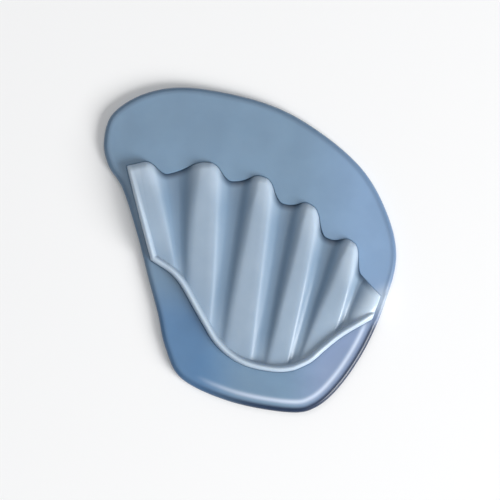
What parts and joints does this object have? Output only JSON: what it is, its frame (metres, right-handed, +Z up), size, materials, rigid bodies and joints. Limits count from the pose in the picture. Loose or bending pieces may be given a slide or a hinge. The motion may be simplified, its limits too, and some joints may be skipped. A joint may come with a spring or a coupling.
{
  "type": "metatarsal pad",
  "caption": "Thin soft gel pad for under the ball of the right foot: a smooth rounded base pad with a raised fan of ribs and channels let into its top, edged by a bead.",
  "frame": {"origin": "on the underside, at the middle of the pad's width and length", "axes": "+X towards the outer side of a right foot, +Y towards the toes, +Z up from the surface that the pad lies on"},
  "size_m": [0.063, 0.07, 0.0055],
  "materials": {
    "base_gel": "soft silicone gel, slightly see-through, satin with a faint gloss",
    "fan_gel": "soft silicone gel, paler and glossier on the ribs"
  },
  "bodies": {
    "root": {"base_pad": "base_gel", "ribbed_fan": "fan_gel"}
  },
  "joints": []
}
